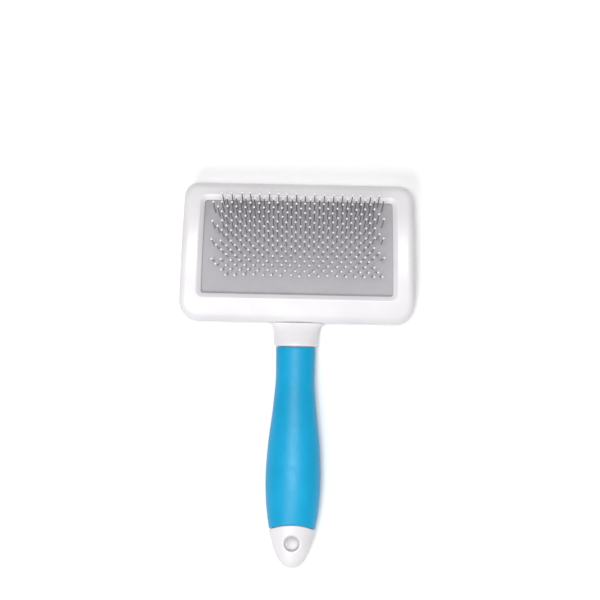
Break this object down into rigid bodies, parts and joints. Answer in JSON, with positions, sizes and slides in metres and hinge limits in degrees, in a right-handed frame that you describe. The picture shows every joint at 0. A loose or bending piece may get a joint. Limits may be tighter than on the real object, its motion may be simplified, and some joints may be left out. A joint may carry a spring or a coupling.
{
  "type": "slicker brush",
  "caption": "Pet slicker brush: wide curved head with a cushioned pad of bent, bead-tipped wire pins, on a straight handle with a soft grip and a hanging hole.",
  "frame": {"origin": "on the plane the brush lies on, under the middle of its overall length and width", "axes": "+X across the head, +Y along the handle towards the head, +Z the way the pins point"},
  "size_m": [0.1104, 0.18, 0.0315],
  "materials": {
    "body_shell": "white moulded ABS, semi-gloss",
    "grip_sleeve": "blue soft-touch thermoplastic rubber, satin",
    "front_frame": "white moulded ABS, semi-gloss",
    "foam_cushion": "grey closed-cell EVA foam, matt",
    "pad_sheet": "grey rubber sheet, satin",
    "foundation_cloth": "woven cotton, matt",
    "pin_wire": "drawn steel wire",
    "pin_beads": "white resin bead, glossy"
  },
  "bodies": {
    "root": {"body_shell": "body_shell", "grip_sleeve": "grip_sleeve", "front_frame": "front_frame", "foam_cushion": "foam_cushion"},
    "cushion": {"pad_sheet": "pad_sheet", "foundation_cloth": "foundation_cloth", "pin_row_01": "pin_wire", "pin_row_02": "pin_wire", "pin_row_03": "pin_wire", "pin_row_04": "pin_wire", "pin_row_05": "pin_wire", "pin_row_06": "pin_wire", "pin_row_07": "pin_wire", "pin_row_08": "pin_wire", "pin_row_09": "pin_wire", "pin_row_10": "pin_wire", "pin_row_11": "pin_wire", "pin_row_12": "pin_wire", "pin_row_13": "pin_wire", "pin_row_14": "pin_wire", "pin_row_15": "pin_wire", "pin_row_16": "pin_wire", "pin_row_17": "pin_wire", "pin_row_18": "pin_wire"}
  },
  "joints": [
    {"name": "cushion_give", "type": "slide", "parent": "root", "child": "cushion", "axis": [0, 0, -1], "range_m": [0, 0.002], "stiffness_N_per_m": 4000, "deforming": ["foam_cushion"]}
  ]
}
